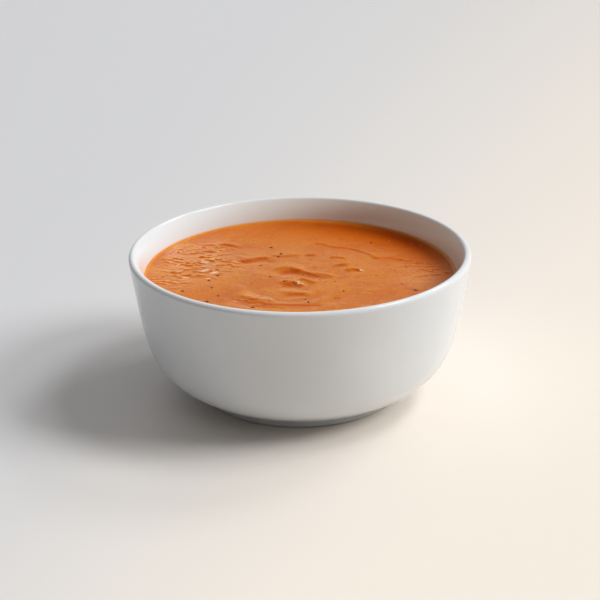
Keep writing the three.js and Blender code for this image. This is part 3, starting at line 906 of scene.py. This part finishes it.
def glaze_material(bowl, soup, level, radius):
    """White satin-gloss glaze, with the soup's film at its waterline and the foot's bare clay. Inside it is a
    little bluer, which takes away some of the soup's warm bounce light, and it carries painted bounce light
    from the soup towards the back right.
    """
    material, tree, shader = new_material("White_glaze", {"Roughness": bowl.roughness, "IOR": 1.5})
    clouds, peel, grit = (use_grain(tree, name) for name in ("glaze clouds", "glaze peel", "clay grit"))
    glaze = mixed(tree, bowl.glaze, darker(bowl.glaze, DARKER["glaze"]), clouds["Mask"])
    # The inside's bluer tone takes away some of the soup's warm bounce light: painted light
    glaze = mixed(tree, glaze, bowl.inside, marked(tree, "inside"))
    # Painted bounce light from the soup, on the inside towards the back right
    glaze = mixed(tree, glaze, bowl.blush, marked(tree, "blush"))
    clay = mixed(tree, bowl.clay, darker(bowl.clay, DARKER["clay"]), grit["Mask"])
    glazed = height_band(tree, *GLAZE_START)
    plain = mixed(tree, clay, glaze, glazed)
    filmed = mixed(tree, soup.film, plain, height_band(tree, level, level + soup.film_height))
    filmed = mixed(tree, filmed, plain, radius_band(tree, *(radius + end for end in FILM_BACK)))
    filmed = mixed(tree, plain, filmed, height_band(tree, *(level + end for end in FILM_FOOT)))
    dulled = {"Value": glazed, "To Min": CLAY_ROUGHNESS, "To Max": bowl.roughness}
    tree.links.new(filmed, shader.inputs["Base Color"])
    tree.links.new(put(tree, "ShaderNodeMapRange", dulled)["Result"], shader.inputs["Roughness"])
    add_bump(tree, shader, peel["Height"], BUMPS["glaze"])
    return material


def soup_material(soup, radius):
    """Creamy soup with a thin yellow edge and a wet satin skin, and painted light: painted sheen on slopes
    that face the back, painted shade in hollows, on slopes that face the front and by the wall, and painted
    glints.
    """
    material, tree, shader = new_material("Creamy_soup", {
        "Roughness": soup.roughness, "IOR": 1.36, "Specular IOR Level": 0, "Subsurface Weight": 0.3,
        "Subsurface Scale": 3 * MM, "Subsurface Radius": (1, 0.3, 0.1),
        "Coat Roughness": soup.roughness, "Coat IOR": 1.5,
    })
    grains = {name: use_grain(tree, f"soup {name}") for name in ("patches", "clots", "pulp")}
    masks = {name: grain["Mask"] for name, grain in grains.items()}
    masks["edge"] = radius_band(tree, *(radius + end for end in THIN_EDGE))
    colour = soup.cream
    for name, tone, share in SOUP_TONES:
        mask = masks[name] if name in masks else marked(tree, name)
        colour = mixed(tree, colour, getattr(soup, tone), mask, share)
    tree.links.new(colour, shader.inputs["Base Color"])
    tree.links.new(marked(tree, "gloss"), shader.inputs["Coat Weight"])
    add_bump(tree, shader, grains["pulp"]["Height"], BUMPS["soup"], "Coat Normal")
    return material


def scrap_material(name, colour, constants):
    """Dry or wet scraps: one colour broken up by its own darker grain."""
    material, tree, shader = new_material(name, constants)
    grain = use_grain(tree, "scrap grain")
    tones = mixed(tree, colour, darker(colour, DARKER["scrap"]), grain["Mask"])
    tree.links.new(tones, shader.inputs["Base Color"])
    add_bump(tree, shader, grain["Height"], BUMPS["scrap"])
    return material


def floor_material(stage):
    """Pale matt paper whose shade turns from cool to warm across a line, with the faintest tooth; its
    brighter warm side is partly its colour and partly painted light from the right.
    """
    material, tree, shader = new_material("Pale_floor", {"Roughness": 0.42, "IOR": 1.35})
    place = place_on(tree)
    run = calculate(tree, "ADD", dot_product(tree, place, SHADE["along"]), SHADE["start"])
    width = calculate(tree, "ADD", dot_product(tree, place, SHADE["widening"]), 1)
    held = calculate(tree, "MAXIMUM", width, SHADE["narrowest"])
    shade = ramp(tree, calculate(tree, "DIVIDE", run, held))
    tree.links.new(mixed(tree, stage.floor_cool, stage.floor_warm, shade), shader.inputs["Base Color"])
    tooth = use_grain(tree, "floor tooth")
    add_bump(tree, shader, tooth["Height"], BUMPS["floor"])
    return material


# Scraps

def scrap_template(splits):
    """Points and triangles of a round scrap of unit radius."""
    shape = bmesh.new()
    bmesh.ops.create_icosphere(shape, subdivisions=splits, radius=1.0)
    shape.verts.ensure_lookup_table()
    points = np.array([v.co[:] for v in shape.verts])
    faces = np.array([[v.index for v in f.verts] for f in shape.faces])
    shape.free()
    return points, faces


def scatter(draw, count, radius, widths, spacing, taken, bias=2):
    """Random places with a width each, clear of taken places by the spacing; a bias makes most small."""
    places = []
    while len(places) < count:
        away = radius * math.sqrt(draw())
        angle = TURN * draw()
        x, y = away * math.cos(angle), away * math.sin(angle)
        width = between(*widths, draw() ** bias)
        if all(math.hypot(x - a, y - b) > spacing for a, b in taken):
            places.append((x, y, width))
            taken.append((x, y))
    return places


def shown_scraps(solid_radius):
    """Places and widths of the scraps that stand out, by kind, with the coarse ones between them."""
    coarse = BETWEEN_FLAKES
    taken = [(x, y) for x, y, _ in SHOWN_FLAKES.values()]
    smaller = scatter(make_draw(coarse["seed"]), coarse["count"], solid_radius - coarse["margin"],
                      coarse["widths"], coarse["spacing"], taken, bias=1)
    dark = [flake for name, flake in SHOWN_FLAKES.items() if name not in REDDISH_FLAKES]
    reddish = [SHOWN_FLAKES[name] for name in REDDISH_FLAKES]
    return {"pepper_flakes": dark, "tomato_flecks": [*reddish, *smaller, *SHOWN_SPECKS.values()]}


def scrap_places(draw, settings, radius, solid_radius):
    """Places and widths of all scraps in metres, by kind."""
    shown = shown_scraps(solid_radius / MM)
    taken = [(x, y) for places in shown.values() for x, y, _ in places]
    shown["herb_shreds"] = SHRED
    placed = {}
    for name, kind in SCRAPS.items():
        count = getattr(settings, f"{kind['setting']}_count")
        free = radius / MM - SCRAP_MARGIN
        loose = scatter(draw, count, free, kind["widths"], kind["spacing"], taken)
        placed[name] = [(MM * x, MM * y, MM * width) for x, y, width in (*shown.get(name, ()), *loose)]
    return placed


def scraps(draw, places, kind, radius, soup):
    """Points and triangles of many uneven scraps, each lying on the skin."""
    template, faces = scrap_template(kind["splits"])
    points, triangles = [], []
    for x, y, width in places:
        shape = template * (1 + kind["uneven"] * (np.array([[draw()] for _ in template]) - 0.5))
        long = between(1, kind["longest"], draw())
        turn = TURN * draw()
        lean = SCRAP_LEAN * (draw() - 0.5)
        shape = shape * np.array((long, 1, kind["thickness"])) * width / 2
        cosine, sine = math.cos(turn), math.sin(turn)
        turned = np.column_stack((shape[:, 0] * cosine - shape[:, 1] * sine,
                                  shape[:, 0] * sine + shape[:, 1] * cosine,
                                  shape[:, 2] + lean * shape[:, 0]))
        rest = skin_height(x, y, radius, soup)[0] - kind["sunk"] * kind["thickness"] * width / 2
        triangles.append(faces + len(template) * len(points))
        points.append(turned + np.array((x, y, rest)))
    return np.vstack(points), [tuple(int(v) for v in f) for f in np.vstack(triangles)]


# Stage

def towards(turn, rise):
    """Unit direction by its turn from +X towards +Y and its angle above the floor, in degrees."""
    turn, rise = math.radians(turn), math.radians(rise)
    flat = math.cos(rise)
    return Vector((flat * math.cos(turn), flat * math.sin(turn), math.sin(rise)))


def make_floor(stage):
    """A wide pale floor under the foot ring."""
    shape = bmesh.new()
    bmesh.ops.create_circle(shape, cap_ends=True, segments=FLOOR_SIDES, radius=FLOOR_RADIUS)
    mesh = bpy.data.meshes.new("floor")
    shape.to_mesh(mesh)
    shape.free()
    mesh.materials.append(floor_material(stage))
    add_object("floor", mesh)


def make_keys(stage):
    """The key lights, as wide soft suns."""
    for name, (turn, rise, width, strength, mirrored) in KEYS.items():
        lamp = bpy.data.lights.new(name.replace(" ", "_"), "SUN")
        lamp.angle = math.radians(width)
        lamp.energy = stage.keys * strength
        lamp.color = stage.key_tint
        key = add_object(lamp.name, lamp)
        key.rotation_euler = towards(turn, rise).to_track_quat("Z", "Y").to_euler()
        key.visible_glossy = mirrored


def make_surroundings(stage):
    """A world of soft glows, added up and tinted."""
    world = bpy.data.worlds.new("surroundings")
    world.use_nodes = True
    tree = world.node_tree
    total = 0
    for turn, rise, fullest, focus in GLOWS.values():
        glow = use_group(tree, "Glow", Towards=towards(turn, rise), Fullest=fullest, Focus=focus)
        total = calculate(tree, "ADD", total, glow["Brightness"])
    tinted = put(tree, "ShaderNodeVectorMath", {0: stage.glow_tint, "Scale": total}, operation="SCALE")
    sky = tree.nodes["Background"]
    sky.inputs["Strength"].default_value = stage.glow
    tree.links.new(tinted[0], sky.inputs["Color"])
    bpy.context.scene.world = world


def make_camera(stage):
    """The camera at the angle that the bowl is shown from."""
    lens = bpy.data.cameras.new("camera")
    lens.lens = stage.lens
    lens.sensor_width = SENSOR_WIDTH
    lens.clip_start = NEAREST_SEEN
    camera = add_object("camera", lens)
    drop, roll = stage.camera_elevation, stage.camera_roll
    forward = Vector((0, math.cos(drop), -math.sin(drop)))
    level = Vector((1, 0, 0))
    upright = level.cross(forward)
    right = level * math.cos(roll) - upright * math.sin(roll)
    up = level * math.sin(roll) + upright * math.cos(roll)
    place = Vector((stage.target_side, 0, stage.target_height)) - forward * stage.camera_distance
    camera.matrix_world = Matrix.Translation(place) @ Matrix((right, up, -forward)).transposed().to_4x4()
    bpy.context.scene.camera = camera


# Operators

class SOUPBOWL_OT_bowl(bpy.types.Operator):
    """Makes the glazed bowl"""

    bl_idname = "soupbowl.bowl"
    bl_label = "Glazed bowl"

    def execute(self, context):
        """Turns the profile, and marks its inside and where the painted bounce light from the soup falls."""
        bowl, soup = context.scene.soupbowl_bowl, context.scene.soupbowl_soup
        rings = [ring(radius, height, bowl.sides) for radius, height in bowl_profile(bowl)]
        points, faces = stack_of_rings(rings)
        level = soup.level + soup.brim_height + soup.meniscus_height / 2
        material = glaze_material(bowl, soup, level, inside_radius(bowl, level))
        piece = new_piece("glazed_bowl", points, faces, material)
        outside_points = sum(len(each) for each in rings[:-len(inside_profile(bowl))])
        inside = np.arange(len(points)) >= outside_points
        mark(piece, "inside", inside)
        # Marks where the painted bounce light from the soup falls on the inside
        mark(piece, "blush", inside * facing(points[:, 0], points[:, 1], PAINTED_BOUNCE["towards"]) ** PAINTED_BOUNCE["focus"])
        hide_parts("bowl")
        return {"FINISHED"}


class SOUPBOWL_OT_soup(bpy.types.Operator):
    """Makes the soup with its wrinkled skin"""

    bl_idname = "soupbowl.soup"
    bl_label = "Soup"

    def execute(self, context):
        """Lays rings over the skin and down the wall, and marks the skin."""
        bowl, soup = context.scene.soupbowl_bowl, context.scene.soupbowl_soup
        radius = skin_radius(bowl, soup)
        rings = [ring(radius * i / soup.rings, 0, FIRST_RING * i) for i in range(soup.rings + 1)]
        skin = np.vstack(rings)
        skin[:, 2] = skin_height(skin[:, 0], skin[:, 1], radius, soup)
        rings = np.split(skin, np.cumsum([len(each) for each in rings])[:-1])
        for wall_radius, height in inside_profile(bowl, **SOUP_STEPS):
            if height < soup.level - SOUP_WALL_DROP:
                rings.append(ring(wall_radius - soup.gap, height + soup.gap, SOUP_SIDES))
        points, faces = stack_of_rings(rings)
        piece = new_piece("soup_body", points, faces, soup_material(soup, radius))
        for name, values in skin_masks(skin[:, 0] / MM, skin[:, 1] / MM, radius / MM, soup).items():
            mark(piece, name, values)
        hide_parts("soup")
        return {"FINISHED"}


class SOUPBOWL_OT_flecks(bpy.types.Operator):
    """Makes the pepper, herb, tomato and pulp flecks and the bubbles"""

    bl_idname = "soupbowl.flecks"
    bl_label = "Flecks and bubbles"

    def execute(self, context):
        """Places all scraps first, and then shapes them kind by kind."""
        bowl, soup = context.scene.soupbowl_bowl, context.scene.soupbowl_soup
        settings = context.scene.soupbowl_flecks
        radius = skin_radius(bowl, soup)
        draw = random.Random(SCRAP_SEED).random
        placed = scrap_places(draw, settings, radius, inside_radius(bowl, soup.level) - soup.gap)
        for name, kind in SCRAPS.items():
            points, faces = scraps(draw, placed[name], kind, radius, soup)
            material = scrap_material(kind["material"], getattr(settings, kind["setting"]), kind["shader"])
            piece = new_piece(name, points, faces, material)
        return {"FINISHED"}


class SOUPBOWL_OT_stage(bpy.types.Operator):
    """Makes the floor, the light and the camera"""

    bl_idname = "soupbowl.stage"
    bl_label = "Stage"

    def execute(self, context):
        """Makes each part of the stage."""
        for make in (make_floor, make_keys, make_surroundings, make_camera):
            make(context.scene.soupbowl_stage)
        context.scene.view_settings.view_transform = "Standard"
        return {"FINISHED"}


class SOUPBOWL_PT_panel(bpy.types.Panel):
    """Lists what makes the bowl of soup"""

    bl_label = "Bowl of tomato soup"
    bl_idname = "SOUPBOWL_PT_panel"
    bl_space_type = "VIEW_3D"
    bl_region_type = "UI"
    bl_category = "Soup bowl"

    def draw(self, context):
        """Draws one button for each operator."""
        for operator in OPERATORS:
            self.layout.operator(operator.bl_idname)


GROUPS = {
    "soupbowl_bowl": BowlSettings,
    "soupbowl_soup": SoupSettings,
    "soupbowl_flecks": FleckSettings,
    "soupbowl_stage": StageSettings,
}
OPERATORS = (SOUPBOWL_OT_bowl, SOUPBOWL_OT_soup, SOUPBOWL_OT_flecks, SOUPBOWL_OT_stage)
CLASSES = (*GROUPS.values(), *OPERATORS, SOUPBOWL_PT_panel)


def register():
    """Makes the classes known and hangs the settings on the scene."""
    for each in CLASSES:
        bpy.utils.register_class(each)
    for name, group in GROUPS.items():
        setattr(bpy.types.Scene, name, PointerProperty(type=group))


def unregister():
    """Undoes what register does."""
    for name in GROUPS:
        delattr(bpy.types.Scene, name)
    for each in reversed(CLASSES):
        bpy.utils.unregister_class(each)


def main():
    """Makes everything in order."""
    register()
    bpy.ops.soupbowl.bowl()
    bpy.ops.soupbowl.soup()
    bpy.ops.soupbowl.flecks()
    bpy.ops.soupbowl.stage()


if __name__ == "__main__":
    main()
